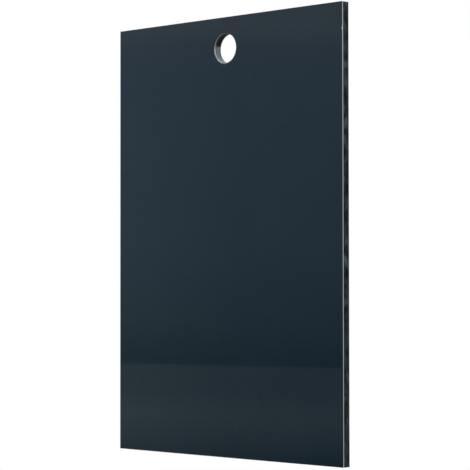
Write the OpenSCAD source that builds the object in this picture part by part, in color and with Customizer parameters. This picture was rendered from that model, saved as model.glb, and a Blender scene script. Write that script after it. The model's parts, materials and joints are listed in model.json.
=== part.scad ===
// Kick plate cut from aluminium composite sheet: two aluminium skins bonded to a plastic core,
// gloss-coated on the front and service-coated on the back, with one hole near the top edge.
// Millimetres, +Z up. The front faces -Y. The origin is on the hole's axis, in the rear face.

/* [Plate] */
// Width of the plate
plate_width = 105; // [60:1:300]
// Height of the plate
plate_height = 148; // [60:1:400]
// Thickness of the whole laminate
plate_thickness = 3; // [2:0.5:6]

/* [Layers] */
// Thickness of the gloss colour coat on the front
colour_coat_thickness = 0.03; // [0.02:0.005:0.05]
// Thickness of each aluminium skin
skin_thickness = 0.3; // [0.2:0.05:0.5]
// Thickness of each film that bonds a skin to the core
bond_film_thickness = 0.08; // [0.04:0.01:0.1]
// Thickness of the service coat on the back
service_coat_thickness = 0.02; // [0.01:0.005:0.05]

/* [Hole] */
// Diameter of the hole
hole_diameter = 10; // [4:0.5:16]
// Distance from the top edge down to the centre of the hole
hole_drop = 10.5; // [9.5:0.5:40]
// Width and depth of the 45 degree edge break round the front rim of the hole
hole_edge_break = 0.2; // [0.1:0.02:0.2]

/* [Hidden] */

hole_facets = 128;
cut_overrun = 1;

// The core fills what the other layers leave of the thickness
core_thickness = plate_thickness - colour_coat_thickness - service_coat_thickness
    - 2 * skin_thickness - 2 * bond_film_thickness;

// Distance of each layer's rear side in front of the plate's rear face
rear_skin_back = service_coat_thickness;
rear_bond_film_back = rear_skin_back + skin_thickness;
core_back = rear_bond_film_back + bond_film_thickness;
front_bond_film_back = core_back + core_thickness;
front_skin_back = front_bond_film_back + bond_film_thickness;
colour_coat_back = front_skin_back + skin_thickness;

// A rectangle of the plate's outline, as thick as one layer
module layer_blank(back, thickness) {
    translate([-plate_width / 2, -back - thickness, hole_drop - plate_height])
        cube([plate_width, thickness, plate_height]);
}

// The straight wall of the hole, cut through every layer at once
module through_bore() {
    rotate([90, 0, 0])
        translate([0, 0, -cut_overrun])
            cylinder(d = hole_diameter, h = plate_thickness + 2 * cut_overrun, $fn = hole_facets);
}

// The 45 degree edge break, which opens the bore towards the front face
module front_edge_break() {
    reach = hole_edge_break + cut_overrun;
    rotate([90, 0, 0])
        translate([0, 0, plate_thickness - hole_edge_break])
            cylinder(d1 = hole_diameter, d2 = hole_diameter + 2 * reach, h = reach, $fn = hole_facets);
}

// One layer of the laminate that the bore goes straight through
module bored_layer(back, thickness) {
    difference() {
        layer_blank(back, thickness);
        through_bore();
    }
}

// Gloss lacquer on the front, cut away round the hole by the edge break
module colour_coat() {
    color([0.10, 0.15, 0.19])
        difference() {
            layer_blank(colour_coat_back, colour_coat_thickness);
            front_edge_break();
        }
}

// Front aluminium sheet, with most of the edge break in it
module front_skin() {
    color([0.78, 0.79, 0.80])
        difference() {
            bored_layer(front_skin_back, skin_thickness);
            front_edge_break();
        }
}

// Adhesive film between the front sheet and the core
module front_bond_film() {
    color([0.30, 0.31, 0.31])
        bored_layer(front_bond_film_back, bond_film_thickness);
}

// Black polyethylene core
module core() {
    color([0.05, 0.05, 0.05])
        bored_layer(core_back, core_thickness);
}

// Adhesive film between the core and the rear sheet
module rear_bond_film() {
    color([0.30, 0.31, 0.31])
        bored_layer(rear_bond_film_back, bond_film_thickness);
}

// Rear aluminium sheet
module rear_skin() {
    color([0.78, 0.79, 0.80])
        bored_layer(rear_skin_back, skin_thickness);
}

// Thin protective lacquer on the back
module service_coat() {
    color([0.62, 0.63, 0.61])
        bored_layer(0, service_coat_thickness);
}

colour_coat();
front_skin();
front_bond_film();
core();
rear_bond_film();
rear_skin();
service_coat();
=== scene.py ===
"""Kick plate cut from aluminium composite sheet: the looks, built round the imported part.

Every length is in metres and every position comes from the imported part, whose origin is on the
hole's axis in the rear face, with the front facing -Y and +Z up.
"""

import json
import math

import bpy
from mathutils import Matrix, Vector, geometry, noise


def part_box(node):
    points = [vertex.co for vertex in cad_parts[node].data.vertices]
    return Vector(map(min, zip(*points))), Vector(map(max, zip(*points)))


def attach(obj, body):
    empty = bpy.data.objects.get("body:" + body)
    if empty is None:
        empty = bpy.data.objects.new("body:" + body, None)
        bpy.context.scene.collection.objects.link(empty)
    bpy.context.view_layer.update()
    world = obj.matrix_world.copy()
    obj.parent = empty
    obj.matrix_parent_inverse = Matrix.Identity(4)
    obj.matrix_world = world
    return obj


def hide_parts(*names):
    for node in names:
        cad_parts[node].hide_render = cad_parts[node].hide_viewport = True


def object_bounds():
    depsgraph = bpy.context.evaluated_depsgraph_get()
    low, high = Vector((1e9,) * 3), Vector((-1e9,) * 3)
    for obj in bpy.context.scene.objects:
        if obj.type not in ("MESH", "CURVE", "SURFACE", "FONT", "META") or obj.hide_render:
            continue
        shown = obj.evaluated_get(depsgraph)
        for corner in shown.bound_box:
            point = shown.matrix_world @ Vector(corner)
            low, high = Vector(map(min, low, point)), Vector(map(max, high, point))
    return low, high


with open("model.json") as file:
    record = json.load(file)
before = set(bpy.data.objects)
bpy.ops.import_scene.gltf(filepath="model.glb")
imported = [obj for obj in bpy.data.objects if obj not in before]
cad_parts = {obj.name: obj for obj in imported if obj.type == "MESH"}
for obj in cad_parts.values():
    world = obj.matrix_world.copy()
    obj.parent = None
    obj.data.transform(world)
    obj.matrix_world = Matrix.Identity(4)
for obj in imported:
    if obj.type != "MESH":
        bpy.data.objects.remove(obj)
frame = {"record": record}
CAD_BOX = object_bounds()

MM = 0.001
TURN = 2 * math.pi

# Fineness of the meshes
EDGE_PITCH = 0.35 * MM
BORE_STEPS = 192
METAL_ROWS = 4
FILM_ROWS = 2
CORE_ROWS = 8
BORE_ROWS = 24
SHARP_ANGLE = math.radians(28)

# Rims and wall of the drilled hole
RIM_BREAK = 0.2 * MM
RIM_WAVER = 0.03 * MM
EXIT_BREAK = 0.03 * MM
COAT_EXIT_BREAK = 1.5 * EXIT_BREAK
DRILL_GROOVE = 0.006 * MM
DRILL_WAVER = 0.004 * MM

# Cut edges: one turn of the saw's blade, and the softened edges of the two coats
SAW_FEED = 6.3 * MM
FRONT_EDGE_INSET = 0.012 * MM
FRONT_EDGE_DEPTH = 0.010 * MM
BACK_EDGE_INSET = 0.006 * MM

# Small chip in the lacquer's right edge, below the top edge by CHIP_DROP
CHIP_DROP = 8.6 * MM
CHIP_REACH = 0.7 * MM
CHIP_DEPTH = 0.30 * MM

# Camera, from the middle of the plate's front face. Angles are in degrees, the lens in millimetres.
CAMERA_OFFSET = Vector((3.0712, -3.0935, -0.1096))  # in plate heights
CAMERA_TILT = 1.490
CAMERA_TURN = 44.502
CAMERA_ROLL = 0.063
CAMERA_LENS = 147.15
CAMERA_SENSOR = 36.0
CAMERA_CLIP = (0.05, 50)

# Floor, and how far from its middle it starts and ends fading into white
FLOOR_GAP = 60 * MM
FLOOR_REACH = 6.0
FLOOR_FADE = (0.12, 0.42)

# Glowing card that the gloss face mirrors towards the camera, painted with a room's light and shade, with its
# angles in degrees
FRONT_CARD_DISTANCE = 0.5
FRONT_CARD_RISE = 17.5 * MM
FRONT_CARD_SIZE = (0.32, 0.285)
FRONT_CARD_TURN = 44.9
FRONT_CARD_ROLL = 1.3
ROOM_HEIGHT = (-0.139, 0.121)
ROOM_WIDTH = (-0.06, 0.065)
SIDE_GLOW_HEIGHT = (0.0, 0.10)
# The stops are the painted light and shade of a room up the front card: a lit bench, black painted shade at
# the foot of the wall, and a wall that brightens towards the top.
ROOM_SHADES = (  # (share of ROOM_HEIGHT, colour)
    (0.00, (0.00, 0.00, 0.00)),
    (0.05, (0.12, 0.14, 0.12)),
    (0.11, (0.20, 0.235, 0.22)),
    (0.16, (0.13, 0.15, 0.15)),
    (0.2190, (0.13, 0.155, 0.155)),  # top of the bench
    (0.2212, (0.00, 0.01, 0.01)),  # foot of the wall
    (0.255, (0.03, 0.04, 0.04)),
    (0.32, (0.085, 0.125, 0.14)),
    (0.50, (0.148, 0.204, 0.265)),
    (0.88, (0.205, 0.277, 0.364)),
    (0.95, (0.26, 0.32, 0.38)),
    (1.00, (0.39, 0.44, 0.46)),
)

# Card behind the plate, which the hole's wall mirrors. Heights are from the hole's axis.
REAR_CARD_STRENGTH = 3.2
REAR_CARD_BEHIND = 60 * MM
REAR_CARD_SHIFT = -12 * MM
REAR_CARD_WIDTH = 156 * MM
REAR_CARD_LOW = -12 * MM
REAR_CARD_TOP = 110 * MM
REAR_FADE_TOP = 100 * MM
REAR_SIDE_FADE = (-63 * MM, 12 * MM)

# Direction in which the surround has a soft bright pool, below and in front
POOL_DIRECTION = (0.2, -0.6, -0.77)


def mount(name):
    """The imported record's mount of that name."""
    return next(m for m in frame["record"]["mounts"] if m["name"] == name)


BORE_RADIUS = mount("hanging_hole")["dims"]["r_mm"] * MM


# ---------------------------------------------------------------- the plate's shared outline


class Outline:
    """Points round a rectangle, anticlockwise seen from the front, from its lower left corner."""

    def __init__(self, low, high, pitch):
        self.points = []
        self.inward = []
        self.run = []
        sides = (
            ((low.x, low.z), (1, 0), (0, 1), high.x - low.x),
            ((high.x, low.z), (0, 1), (-1, 0), high.z - low.z),
            ((high.x, high.z), (-1, 0), (0, -1), high.x - low.x),
            ((low.x, high.z), (0, -1), (1, 0), high.z - low.z),
        )
        travelled = 0.0
        for index, (start, along, inward, length) in enumerate(sides):
            steps = round(length / pitch)
            before = sides[index - 1][2]
            for step in range(steps):
                reach = length * step / steps
                self.points.append((start[0] + along[0] * reach, start[1] + along[1] * reach))
                corner = before if step == 0 else (0, 0)
                self.inward.append((inward[0] + corner[0], inward[1] + corner[1]))
                self.run.append(travelled + reach)
            travelled += length

    def ring(self, y, inset, relief):
        """The outline at depth y, pulled inwards by inset and by the relief at each point."""
        ring = []
        for (x, z), (to_x, to_z), run in zip(self.points, self.inward, self.run):
            pull = inset + relief(Vector((x, y, z)), run)
            ring.append((x + to_x * pull, y, z + to_z * pull))
        return ring


def circle(radius, steps):
    """Points round the hole's axis, in (x, z)."""
    angles = [TURN * step / steps for step in range(steps)]
    return [(radius * math.cos(angle), radius * math.sin(angle)) for angle in angles]


def bore_ring(y, radius, waver=0.0):
    """A ring of the hole's wall. waver makes its radius uneven, as by hand."""
    ring = []
    for across, up in circle(1.0, BORE_STEPS):
        spot = Vector((across, y / radius, up))
        uneven = radius + waver * noise.noise(spot * 1.7)
        ring.append((uneven * across, y, uneven * up))
    return ring


class CapPlan:
    """Triangles over the plate's face, between its outline and its hole.

    Their corners are indices into the outline's points, then the bore's, then the inner ones.
    """

    OUTER_RINGS = ((0.4, 0.7), (1.2, 1.5), (3.0, 3.0))  # (inset, pitch) in mm
    BORE_RINGS = ((0.5, 96), (1.5, 48))  # (gap in mm, steps)
    GRID = 6.0 * MM
    GRID_MARGIN = 5.0 * MM
    GRID_CLEARANCE = 4.0 * MM
    WHOLE_HULL = 0  # the triangulation's output type that leaves nothing out
    NEARNESS = 1e-6  # at which two points count as one, in mm

    def __init__(self, outline, low, high):
        self.inner = []
        for inset, pitch in self.OUTER_RINGS:
            pull = Vector((inset * MM, 0, inset * MM))
            self.inner += Outline(low + pull, high - pull, pitch * MM).points
        for gap, steps in self.BORE_RINGS:
            self.inner += circle(BORE_RADIUS + RIM_BREAK + gap * MM, steps)
        self.inner += self.grid(low, high)
        self.triangles = self.triangulate(outline.points, circle(BORE_RADIUS, BORE_STEPS))

    def grid(self, low, high):
        """A grid of points over the middle of the face, clear of the outline and the hole."""
        width = high.x - low.x - 2 * self.GRID_MARGIN
        height = high.z - low.z - 2 * self.GRID_MARGIN
        columns, rows = round(width / self.GRID), round(height / self.GRID)
        found = []
        for row in range(rows + 1):
            for column in range(columns + 1):
                x = low.x + self.GRID_MARGIN + width * column / columns
                z = low.z + self.GRID_MARGIN + height * row / rows
                if math.hypot(x, z) > BORE_RADIUS + self.GRID_CLEARANCE:
                    found.append((x, z))
        return found

    def triangulate(self, outline, bore):
        """Delaunay triangles of all the points, without those that cover the hole."""
        points = [Vector(p) / MM for p in [*outline, *bore, *self.inner]]
        first, last = len(outline), len(outline) + len(bore)
        loops = [(i, (i + 1) % first) for i in range(first)]
        loops += [(first + i, first + (i + 1) % len(bore)) for i in range(len(bore))]
        made = geometry.delaunay_2d_cdt(points, loops, [], self.WHOLE_HULL, self.NEARNESS)
        source = [ids[0] for ids in made[3]]
        triangles = []
        for face in made[2]:
            corners = [source[i] for i in face]
            if all(first <= c < last for c in corners):
                continue
            a, b, c = (points[i] for i in corners)
            if (b - a).cross(c - a) < 0:
                corners.reverse()
            triangles.append(corners)
        return triangles


class Sheet:
    """The plate's outline and face plan, which all the layers share."""

    def __init__(self):
        low, high = CAD_BOX
        self.outline = Outline(low, high, EDGE_PITCH)
        self.plan = CapPlan(self.outline, low, high)


# ---------------------------------------------------------------- mesh of one layer


def cap_faces(sheet, outline_start, bore_start, inner_start, front):
    """Faces over one side of a layer, whose outline, bore and inner points start at these indices."""
    shifted = [outline_start + i for i in range(len(sheet.outline.points))]
    shifted += [bore_start + i for i in range(BORE_STEPS)]
    shifted += [inner_start + i for i in range(len(sheet.plan.inner))]
    faces = []
    for triangle in sheet.plan.triangles:
        corners = [shifted[corner] for corner in triangle]
        faces.append(corners if front else corners[::-1])
    return faces


def wall_faces(start, rings, steps, outward):
    """Faces between rings of equally many points, which follow one another from front to back."""
    faces = []
    for ring in range(rings - 1):
        near, far = start + ring * steps, start + (ring + 1) * steps
        for i in range(steps):
            j = (i + 1) % steps
            quad = [near + i, near + j, far + j, far + i]
            faces.append(quad[::-1] if outward else quad)
    return faces


def layer_mesh(name, sheet, edge, bore):
    """A closed mesh of one layer, from its rings round the outline and the hole, front to back."""
    around = len(sheet.outline.points)
    inner = sheet.plan.inner
    verts = [point for ring in edge + bore for point in ring]
    bore_start = len(edge) * around
    inner_start = len(verts)
    for ring in (edge[0], edge[-1]):
        y = ring[0][1]
        verts += [(x, y, z) for x, z in inner]

    caps = cap_faces(sheet, 0, bore_start, inner_start, True)
    caps += cap_faces(
        sheet, bore_start - around, inner_start - BORE_STEPS, inner_start + len(inner), False
    )
    edge_wall = wall_faces(0, len(edge), around, True)
    bore_wall = wall_faces(bore_start, len(bore), BORE_STEPS, False)

    mesh = bpy.data.meshes.new(name)
    mesh.from_pydata(verts, [], caps + edge_wall + bore_wall)
    slots = [0] * len(caps) + [1] * len(edge_wall) + [2] * len(bore_wall)
    mesh.polygons.foreach_set("material_index", slots)
    mesh.shade_smooth()
    mesh.set_sharp_from_angle(angle=SHARP_ANGLE)
    mesh.update()
    return mesh


def link(name, data):
    """A new object in the scene."""
    made = bpy.data.objects.new(name, data)
    bpy.context.scene.collection.objects.link(made)
    return made


def add_piece(name, node, mesh, materials):
    """A piece of the plate that stands for a CAD node and rides on the plate's one body.

    The materials are those of its two faces, of its outer edge and of the hole's wall.
    """
    for material in materials:
        mesh.materials.append(material)
    made = link(name, mesh)
    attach(made, "root")
    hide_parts(node)


# ---------------------------------------------------------------- relief of the cut edges


def saw_mark(run):
    """0 to 1 along the cut: the shallow wave that one turn of the saw blade leaves."""
    return 0.5 + 0.5 * math.cos(TURN * run / SAW_FEED)


def metal_relief(spot, run):
    """How deep the saw bit into the edge of a metal skin."""
    bite, wave, grain = 0.010 * MM, 0.006 * MM, 0.008 * MM
    drawn_out = Vector((spot.x, spot.y * 0.4, spot.z))
    return bite + wave * saw_mark(run) + grain * noise.noise(drawn_out * 900)


def lacquer_relief(spot, run):
    """The metal's relief, and the small chip in the lacquer's right edge."""
    high = CAD_BOX[1]
    away = math.hypot(spot.x - high.x, spot.z - high.z + CHIP_DROP) / CHIP_REACH
    return metal_relief(spot, run) + CHIP_DEPTH * max(0.0, 1.0 - away ** 2)


def core_relief(spot, run):
    """How deep the saw bit into the plastic core, which tears and smears more than the metal."""
    bite, wave, tear, grain = 0.040 * MM, 0.016 * MM, 0.020 * MM, 0.010 * MM
    slant = Vector((spot.x + spot.y * 0.3, spot.y * 0.8, spot.z + spot.y * 0.3))
    rough = tear * noise.noise(slant * 700) + grain * noise.noise(slant * 2400)
    return bite + wave * saw_mark(run) + rough


def film_relief(spot, run):
    """How far the adhesive film stands back from the cut."""
    back, waver = 0.040 * MM, 0.020 * MM
    return back + waver * noise.noise(spot * 600)


# ---------------------------------------------------------------- the layers


def depths(node):
    """(front, back) of a CAD node along Y."""
    low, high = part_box(node)
    return low.y, high.y


def between(front, back, steps):
    """Depths from front to back in equal steps."""
    return [front + (back - front) * i / steps for i in range(steps + 1)]


def make_colour_coat(sheet, materials):
    """Gloss lacquer, with a softened front edge, cut away round the hole by the edge break."""
    front, back = depths("colour_coat")
    edge = [
        sheet.outline.ring(front, FRONT_EDGE_INSET, lacquer_relief),
        sheet.outline.ring(front + FRONT_EDGE_DEPTH, 0.0, lacquer_relief),
        sheet.outline.ring(back, 0.0, lacquer_relief),
    ]
    rim = BORE_RADIUS + RIM_BREAK
    bore = [
        bore_ring(front, rim, RIM_WAVER),
        bore_ring(back, rim - (back - front), RIM_WAVER),
    ]
    mesh = layer_mesh("gloss_coat", sheet, edge, bore)
    add_piece("gloss_coat", "colour_coat", mesh, materials)


def make_front_skin(sheet, materials):
    """Front aluminium sheet, sawn at its edges, with the edge break round the hole."""
    front, back = depths("front_skin")
    skin_break = RIM_BREAK - (front - depths("colour_coat")[0])
    edge = [sheet.outline.ring(y, 0.0, metal_relief) for y in between(front, back, METAL_ROWS)]
    bore = [
        bore_ring(front, BORE_RADIUS + skin_break, RIM_WAVER),
        bore_ring(front + skin_break, BORE_RADIUS),
        bore_ring(back, BORE_RADIUS),
    ]
    mesh = layer_mesh("front_sheet", sheet, edge, bore)
    add_piece("front_sheet", "front_skin", mesh, materials)


def make_film(name, node, sheet, materials):
    """A film of adhesive, set slightly back from the cut."""
    front, back = depths(node)
    edge = [sheet.outline.ring(y, 0.0, film_relief) for y in between(front, back, FILM_ROWS)]
    bore = [bore_ring(y, BORE_RADIUS) for y in (front, back)]
    add_piece(name, node, layer_mesh(name, sheet, edge, bore), materials)


def make_core(sheet, materials):
    """Plastic core, torn a little by the saw, with the drill's fine rings in the hole's wall."""
    front, back = depths("core")
    edge = [sheet.outline.ring(y, 0.0, core_relief) for y in between(front, back, CORE_ROWS)]
    bore = []
    for index, y in enumerate(between(front, back, BORE_ROWS)):
        bore.append(bore_ring(y, BORE_RADIUS + DRILL_GROOVE * (index % 2), DRILL_WAVER))
    mesh = layer_mesh("plastic_core", sheet, edge, bore)
    add_piece("plastic_core", "core", mesh, materials)


def make_rear_skin(sheet, materials):
    """Rear aluminium sheet, rolled over slightly where the drill left it."""
    front, back = depths("rear_skin")
    edge = [sheet.outline.ring(y, 0.0, metal_relief) for y in between(front, back, METAL_ROWS)]
    bore = [
        bore_ring(front, BORE_RADIUS),
        bore_ring(back - EXIT_BREAK, BORE_RADIUS),
        bore_ring(back, BORE_RADIUS + EXIT_BREAK),
    ]
    mesh = layer_mesh("rear_sheet", sheet, edge, bore)
    add_piece("rear_sheet", "rear_skin", mesh, materials)


def make_service_coat(sheet, materials):
    """Thin lacquer on the back."""
    front, back = depths("service_coat")
    edge = [
        sheet.outline.ring(front, 0.0, metal_relief),
        sheet.outline.ring(back, BACK_EDGE_INSET, metal_relief),
    ]
    bore = [
        bore_ring(front, BORE_RADIUS + EXIT_BREAK),
        bore_ring(back, BORE_RADIUS + COAT_EXIT_BREAK),
    ]
    mesh = layer_mesh("back_coat", sheet, edge, bore)
    add_piece("back_coat", "service_coat", mesh, materials)


# ---------------------------------------------------------------- node graphs


class Graph:
    """A node tree, with short ways to add the nodes that are used here over and over."""

    def __init__(self, tree):
        self.tree = tree

    def feed(self, socket, value):
        """Link value to the socket if it comes from a node, or else set it there."""
        if isinstance(value, bpy.types.NodeSocket):
            self.tree.links.new(value, socket)
        else:
            socket.default_value = value

    def set(self, node, **inputs):
        for name, value in inputs.items():
            self.feed(node.inputs[name.replace("_", " ")], value)

    def add(self, kind, **inputs):
        node = self.tree.nodes.new("ShaderNode" + kind)
        self.set(node, **inputs)
        return node

    def place(self, kind="Object"):
        """Coordinates of the shaded spot."""
        return self.add("TexCoord").outputs[kind]

    def split(self, vector):
        """The X, Y and Z of a vector."""
        return self.add("SeparateXYZ", Vector=vector).outputs

    def calculate(self, kind, operation, *values):
        """One operation of a math node on numbers, or of a vector math node on vectors."""
        node = self.add(kind)
        node.operation = operation
        for socket, value in zip(node.inputs, values):
            self.feed(socket, value)
        return node.outputs

    def math(self, operation, *values):
        return self.calculate("Math", operation, *values)["Value"]

    def combine(self, operation, *colours):
        return self.calculate("VectorMath", operation, *colours)["Vector"]

    def span(self, value, start, end, low=0.0, high=1.0):
        """A number that goes from low to high as value goes from start to end."""
        node = self.add("MapRange", Value=value, From_Min=start, From_Max=end, To_Min=low, To_Max=high)
        return node.outputs["Result"]

    def ramp(self, value, *stops):
        """A colour that follows stops of (value, colour)."""
        node = self.add("ValToRGB", Fac=value)
        elements = node.color_ramp.elements
        while len(elements) < len(stops):
            elements.new(0.5)
        for element, (position, colour) in zip(elements, stops):
            element.position = position
            element.color = (*colour, 1)
        return node.outputs["Color"]

    def mix(self, factor, first, second):
        """A colour between first and second."""
        node = self.add("Mix")
        node.data_type = "RGBA"
        start, end = (socket for socket in node.inputs if socket.type == "RGBA")
        self.feed(node.inputs[0], factor)
        self.feed(start, first)
        self.feed(end, (*second, 1))
        return next(socket for socket in node.outputs if socket.type == "RGBA")


class Surface(Graph):
    """A material's nodes: its Principled shader and patterns in the object's coordinates."""

    LINE_SOFTNESS = 0.03

    def __init__(self, name, ior=1.5, metallic=0.0):
        self.material = bpy.data.materials.new(name)
        self.material.use_nodes = True
        super().__init__(self.material.node_tree)
        self.shader = self.tree.nodes["Principled BSDF"]
        self.set(self.shader, IOR=ior, Metallic=metallic)
        self.here = self.place()

    def stretched(self, *scale):
        """Coordinates scaled along X, Y and Z, in cells per metre."""
        return self.add("Mapping", Vector=self.here, Scale=scale).outputs["Vector"]

    def noise(self, vector, scale=1.0, detail=2.0, roughness=0.5):
        node = self.add("TexNoise", Vector=vector, Scale=scale, Detail=detail, Roughness=roughness)
        return node.outputs["Fac"]

    def hairlines(self, tilt, spacing, length, rarity):
        """1 on fine straight scratches at one tilt in the plate's plane, 0 elsewhere."""
        turned = self.add("Mapping", Vector=self.here, Rotation=(0, tilt, 0)).outputs["Vector"]
        drawn_out = self.add("Mapping", Vector=turned, Scale=(1 / length, 0, 1 / spacing))
        lines = self.noise(drawn_out.outputs["Vector"], detail=0.0)
        return self.span(lines, 0.5 + rarity, 0.5 + rarity + self.LINE_SOFTNESS)

    def bump(self, height, distance):
        node = self.add("Bump", Height=height, Strength=1.0, Distance=distance)
        self.set(self.shader, Normal=node.outputs["Normal"])


# ---------------------------------------------------------------- materials


def gloss_lacquer():
    """Blue anthracite lacquer at high gloss, with a faint flow in its surface and a few hairlines."""
    surface = Surface("gloss_lacquer")
    cloud = surface.noise(surface.here, scale=45, detail=3)
    lacquer = surface.ramp(cloud, (0.3, (0.0086, 0.0166, 0.0248)), (0.7, (0.0094, 0.0180, 0.0266)))
    speck = surface.span(surface.noise(surface.here, scale=2600, detail=1), 0.70, 0.80, 0.0, 0.5)
    flecked = surface.mix(speck, lacquer, (0.05, 0.06, 0.07))
    falling = surface.hairlines(tilt=0.45, spacing=0.10 * MM, length=14 * MM, rarity=0.24)
    rising = surface.hairlines(tilt=-0.9, spacing=0.12 * MM, length=10 * MM, rarity=0.25)
    scratches = surface.math("MULTIPLY", surface.math("MAXIMUM", falling, rising), 0.10)
    wiped = surface.span(surface.noise(surface.here, scale=30, detail=4), 0.3, 0.7, 0.018, 0.032)
    surface.set(surface.shader, Base_Color=flecked, Roughness=surface.math("ADD", wiped, scratches))
    surface.bump(surface.noise(surface.here, scale=500, detail=1), 0.00020 * MM)
    return surface.material


def aluminium(name, dark, light, roughness, marks, depth):
    """Bare aluminium between two colours, with tool marks of so many cells per metre each way."""
    surface = Surface(name, metallic=1.0)
    lines = surface.noise(surface.stretched(*marks), detail=3, roughness=0.6)
    smear = surface.noise(surface.here, scale=350, detail=2)
    both = surface.math("MULTIPLY", surface.math("ADD", lines, smear), 0.5)
    colour = surface.ramp(both, (0.38, dark), (0.62, light))
    surface.set(surface.shader, Base_Color=colour, Roughness=surface.span(both, 0.4, 0.6, *roughness))
    surface.bump(lines, depth)
    return surface.material


def sawn_aluminium():
    """Bright cut through the front skin."""
    return aluminium(
        "sawn_aluminium", dark=(0.83, 0.86, 0.87), light=(0.94, 0.96, 0.97),
        roughness=(0.32, 0.44), marks=(5000, 260, 5000), depth=0.003 * MM,
    )


def drilled_aluminium():
    """Edge break and wall of the hole in the front skin."""
    return aluminium(
        "drilled_aluminium", dark=(0.27, 0.305, 0.33), light=(0.38, 0.42, 0.445),
        roughness=(0.34, 0.48), marks=(160, 9000, 160), depth=0.001 * MM,
    )


def dull_aluminium():
    """Cut through the rear skin, smeared with black plastic."""
    return aluminium(
        "dull_aluminium", dark=(0.05, 0.05, 0.05), light=(0.11, 0.11, 0.11),
        roughness=(0.50, 0.65), marks=(5000, 260, 5000), depth=0.003 * MM,
    )


def sawn_plastic():
    """Black polyethylene as the saw leaves it: matt and torn, with paler smears at each turn of the blade."""
    surface = Surface("sawn_plastic")
    torn = surface.noise(surface.stretched(420, 700, 420), detail=4, roughness=0.6)
    black = surface.ramp(torn, (0.3, (0.002, 0.004, 0.004)), (0.7, (0.007, 0.010, 0.011)))
    lands = surface.span(surface.noise(surface.stretched(330, 760, 330)), 0.38, 0.64)
    worn = surface.mix(lands, black, (0.025, 0.031, 0.033))
    bands_per_turn = 20  # of the wave texture, in one metre at scale 1
    turns = surface.add(
        "TexWave", Vector=surface.here, Scale=TURN / (bands_per_turn * SAW_FEED),
        Distortion=1.5, Detail=1.0, Detail_Scale=3.0,
    )
    turns.bands_direction = "Z"
    patch = surface.noise(surface.stretched(260, 520, 260), detail=1)
    pale = surface.math("ADD", patch, surface.math("MULTIPLY", turns.outputs["Fac"], 0.12))
    colour = surface.mix(surface.span(pale, 0.60, 0.82), worn, (0.056, 0.071, 0.077))
    rough = surface.span(torn, 0.3, 0.7, 0.45, 0.62)
    surface.set(surface.shader, Base_Color=colour, Roughness=rough, Specular_IOR_Level=0.05)
    surface.bump(torn, 0.02 * MM)
    return surface.material


def drilled_plastic():
    """Black polyethylene as the drill leaves it: smooth, with fine rings round the hole."""
    surface = Surface("drilled_plastic")
    rings = surface.noise(surface.stretched(90, 1500, 90), detail=3, roughness=0.6)
    colour = surface.ramp(rings, (0.4, (0.004, 0.004, 0.004)), (0.65, (0.022, 0.022, 0.022)))
    rough = surface.span(rings, 0.38, 0.62, 0.16, 0.42)
    surface.set(surface.shader, Base_Color=colour, Roughness=rough)
    surface.bump(rings, 0.006 * MM)
    return surface.material


def adhesive():
    """Dark adhesive film, smeared a little along the cut."""
    surface = Surface("adhesive")
    smear = surface.noise(surface.stretched(500, 4000, 500), detail=3)
    colour = surface.ramp(smear, (0.3, (0.010, 0.010, 0.011)), (0.7, (0.045, 0.046, 0.046)))
    rough = surface.span(smear, 0.3, 0.7, 0.45, 0.65)
    surface.set(surface.shader, Base_Color=colour, Roughness=rough)
    surface.bump(smear, 0.01 * MM)
    return surface.material


def service_lacquer():
    """Thin satin grey lacquer, through which the sheet's rolling lines show, with a few scuffs."""
    surface = Surface("service_lacquer")
    rolled = surface.noise(surface.stretched(2600, 1, 18), detail=3, roughness=0.55)
    cloud = surface.noise(surface.here, scale=28, detail=3)
    tone = surface.math("MULTIPLY", surface.math("ADD", rolled, cloud), 0.5)
    lacquer = surface.ramp(tone, (0.3, (0.38, 0.39, 0.375)), (0.7, (0.445, 0.455, 0.44)))
    steep = surface.hairlines(tilt=1.1, spacing=0.14 * MM, length=9 * MM, rarity=0.24)
    flat = surface.hairlines(tilt=0.2, spacing=0.16 * MM, length=12 * MM, rarity=0.25)
    scuffs = surface.math("MAXIMUM", steep, flat)
    worn = surface.mix(surface.math("MULTIPLY", scuffs, 0.6), lacquer, (0.60, 0.61, 0.60))
    satin = surface.span(tone, 0.3, 0.7, 0.34, 0.46)
    rough = surface.math("ADD", satin, surface.math("MULTIPLY", scuffs, 0.12))
    surface.set(surface.shader, Base_Color=worn, Roughness=rough)
    surface.bump(rolled, 0.0016 * MM)
    return surface.material


# ---------------------------------------------------------------- stage


def grey(level):
    """A neutral colour."""
    return (level, level, level)


def glow_material(name, strength):
    """An emission material, its graph and the socket that takes its colour."""
    material = bpy.data.materials.new(name)
    material.use_nodes = True
    material.node_tree.nodes.clear()
    graph = Graph(material.node_tree)
    glow = graph.add("Emission", Strength=strength)
    graph.add("OutputMaterial", Surface=glow.outputs["Emission"])
    return material, graph, glow.inputs["Color"]


def flat_card(name, centre, size, material, turn=0.0, roll=0.0):
    """A rectangle that only reflections see. Its own X runs across it and its own Z up it."""
    half, top = size[0] / 2, size[1] / 2
    mesh = bpy.data.meshes.new(name)
    corners = [(-half, 0, -top), (half, 0, -top), (half, 0, top), (-half, 0, top)]
    mesh.from_pydata(corners, [], [(0, 1, 2, 3)])
    mesh.materials.append(material)
    card = link(name, mesh)
    card.location = centre
    card.rotation_euler = (0, math.radians(roll), math.radians(turn))
    card.visible_camera = False
    card.visible_diffuse = False
    card.visible_shadow = False
    card.visible_transmission = False


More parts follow.
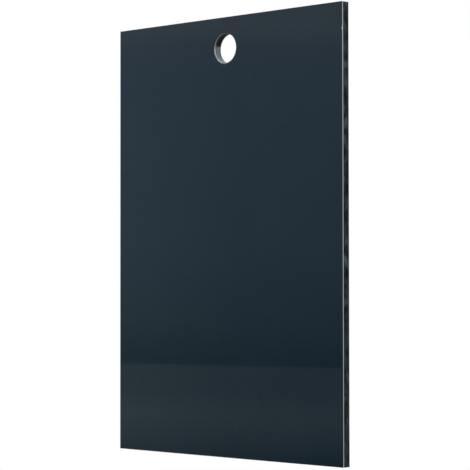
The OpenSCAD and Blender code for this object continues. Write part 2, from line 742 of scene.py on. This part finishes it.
def make_front_card(face):
    """A glowing card that the gloss face mirrors towards the camera, painted with the light and shade of a
    dim room: a wall above a bench.

    Its painted light is brighter towards its left, most of all low down.
    """
    material, graph, colour = glow_material("front_card", 1.0)
    across, _, up = graph.split(graph.place())
    room = graph.ramp(graph.span(up, *ROOM_HEIGHT), *ROOM_SHADES)
    share = graph.ramp(
        graph.span(across, *ROOM_WIDTH), (0.0, grey(1.25)), (0.5, grey(1.0)), (1.0, grey(0.96))
    )
    side = graph.ramp(
        graph.span(across, *ROOM_WIDTH),
        (0.0, (0.09, 0.12, 0.12)), (0.22, (0.065, 0.09, 0.09)), (0.5, (0.030, 0.04, 0.04)), (1.0, grey(0)),
    )
    low_down = graph.ramp(graph.span(up, *SIDE_GLOW_HEIGHT), (0.0, grey(1)), (1.0, grey(0)))
    side_glow = graph.combine("MULTIPLY", side, low_down)
    graph.feed(colour, graph.combine("MULTIPLY_ADD", room, share, side_glow))
    turn = math.radians(FRONT_CARD_TURN)
    towards = Vector((-math.sin(turn), -math.cos(turn), 0))
    centre = face + towards * FRONT_CARD_DISTANCE + Vector((0, 0, FRONT_CARD_RISE))
    flat_card("front_card", centre, FRONT_CARD_SIZE, material, -FRONT_CARD_TURN, FRONT_CARD_ROLL)


def make_rear_card(hole):
    """The bright backdrop that the hole's smooth wall mirrors, dimmer towards its top and its left."""
    material, graph, colour = glow_material("rear_card", REAR_CARD_STRENGTH)
    across, _, up = graph.split(graph.place())
    middle = (REAR_CARD_LOW + REAR_CARD_TOP) / 2
    fade = graph.ramp(
        graph.span(up, -middle, REAR_FADE_TOP - middle),
        (0.0, (0.86, 0.965, 1.04)), (1.0, (0.40, 0.45, 0.48)),
    )
    side = graph.ramp(graph.span(across, *REAR_SIDE_FADE), (0.0, grey(0.15)), (1.0, grey(1)))
    graph.feed(colour, graph.combine("MULTIPLY", fade, side))
    centre = hole + Vector((REAR_CARD_SHIFT, REAR_CARD_BEHIND, middle))
    flat_card("rear_card", centre, (REAR_CARD_WIDTH, REAR_CARD_TOP - REAR_CARD_LOW), material)


def floor_paint(middle):
    """Pale paint that fades into white away from the floor's middle."""
    material = bpy.data.materials.new("floor")
    material.use_nodes = True
    graph = Graph(material.node_tree)
    paint = graph.tree.nodes["Principled BSDF"]
    graph.set(paint, Base_Color=(0.9, 0.9, 0.9, 1), Roughness=0.8)
    glow = graph.add("Emission")
    distance = graph.calculate("VectorMath", "DISTANCE", graph.place(), middle)["Value"]
    fade = graph.add("MapRange", Value=distance, From_Min=FLOOR_FADE[0], From_Max=FLOOR_FADE[1])
    fade.interpolation_type = "SMOOTHSTEP"
    mixed = graph.add("MixShader", Fac=fade.outputs["Result"])
    graph.feed(mixed.inputs[1], paint.outputs["BSDF"])
    graph.feed(mixed.inputs[2], glow.outputs["Emission"])
    graph.set(graph.tree.nodes["Material Output"], Surface=mixed.outputs["Shader"])
    return material


def make_floor(middle):
    """Pale floor under the hanging plate, which fades into the white surround."""
    mesh = bpy.data.meshes.new("floor")
    signs = ((-1, -1), (1, -1), (1, 1), (-1, 1))
    corners = [middle + Vector((a, b, 0)) * FLOOR_REACH for a, b in signs]
    mesh.from_pydata(corners, [], [(0, 1, 2, 3)])
    mesh.materials.append(floor_paint(middle))
    floor = link("floor", mesh)
    floor.visible_glossy = False


def make_surround():
    """A studio that is white to look at, and lights and reflects as a soft gradient.

    It is dark below, brighter above and behind, and has one soft pool below and in front.
    """
    world = bpy.data.worlds.new("surround")
    bpy.context.scene.world = world
    world.use_nodes = True
    world.node_tree.nodes.clear()
    graph = Graph(world.node_tree)
    direction = graph.place("Generated")
    _, along, up = graph.split(direction)
    height = graph.ramp(
        graph.span(up, -0.3, 0.9),
        (0.00, (0.10, 0.10, 0.10)),
        (0.10, (0.23, 0.24, 0.25)),
        (0.18, (0.52, 0.55, 0.57)),
        (0.50, (0.47, 0.50, 0.51)),
        (1.00, (0.55, 0.58, 0.60)),
    )
    depth = graph.ramp(graph.span(along, -0.8, 0.4), (0.0, (0.5, 0.53, 0.56)), (1.0, grey(1)))
    nearness = graph.calculate("VectorMath", "DOT_PRODUCT", direction, POOL_DIRECTION)["Value"]
    pool = graph.ramp(graph.span(nearness, 0.45, 0.95), (0.0, grey(0)), (1.0, grey(0.46)))
    soft = graph.add("Background", Color=graph.combine("MULTIPLY_ADD", height, depth, pool))
    white = graph.add("Background", Color=(1, 1, 1, 1))
    rays = graph.add("LightPath")
    mixed = graph.add("MixShader", Fac=rays.outputs["Is Camera Ray"])
    graph.feed(mixed.inputs[1], soft.outputs["Background"])
    graph.feed(mixed.inputs[2], white.outputs["Background"])
    graph.add("OutputWorld", Surface=mixed.outputs["Shader"])


def make_softbox(name, target, direction, distance, size, power):
    """A square area light that faces the target."""
    lamp = bpy.data.lights.new(name, "AREA")
    lamp.size = size
    lamp.energy = power
    light = link(name, lamp)
    away = Vector(direction).normalized()
    light.location = target + away * distance
    light.rotation_mode = "QUATERNION"
    light.rotation_quaternion = away.to_track_quat("Z", "Y")
    light.visible_camera = False


def make_lights(face):
    """Three soft lights round the plate."""
    make_softbox("key_light", face, direction=(-0.35, -0.75, 0.9), distance=1.3, size=0.7, power=9)
    make_softbox("fill_light", face, direction=(0.9, -0.5, 0.5), distance=1.4, size=0.8, power=6)
    make_softbox("back_light", face, direction=(-0.5, 0.9, 0.7), distance=1.4, size=0.8, power=4)


def make_camera(face, height):
    """The camera, in front of the plate and to its right, looking slightly up."""
    data = bpy.data.cameras.new("camera")
    data.lens = CAMERA_LENS
    data.sensor_width = CAMERA_SENSOR
    data.clip_start, data.clip_end = CAMERA_CLIP
    camera = link("camera", data)
    camera.location = face + CAMERA_OFFSET * height
    angles = (90 + CAMERA_TILT, CAMERA_ROLL, CAMERA_TURN)
    camera.rotation_euler = [math.radians(angle) for angle in angles]
    bpy.context.scene.camera = camera


# ---------------------------------------------------------------- build


def build_plate():
    sheet = Sheet()
    film, sawn, dull = adhesive(), sawn_aluminium(), dull_aluminium()
    make_colour_coat(sheet, [gloss_lacquer()] * 3)
    make_front_skin(sheet, [sawn, sawn, drilled_aluminium()])
    make_film("front_film", "front_bond_film", sheet, [film] * 3)
    torn = sawn_plastic()
    make_core(sheet, [torn, torn, drilled_plastic()])
    make_film("rear_film", "rear_bond_film", sheet, [film] * 3)
    make_rear_skin(sheet, [dull] * 3)
    make_service_coat(sheet, [service_lacquer()] * 3)


def build_stage():
    low, high = CAD_BOX
    middle = (low + high) / 2
    face = Vector((middle.x, low.y, middle.z))
    make_camera(face, high.z - low.z)
    make_surround()
    make_floor(Vector((middle.x, middle.y, low.z - FLOOR_GAP)))
    make_front_card(face)
    make_rear_card(Vector((0, high.y, 0)))
    make_lights(face)
    bpy.context.scene.view_settings.view_transform = "Standard"


build_plate()
build_stage()
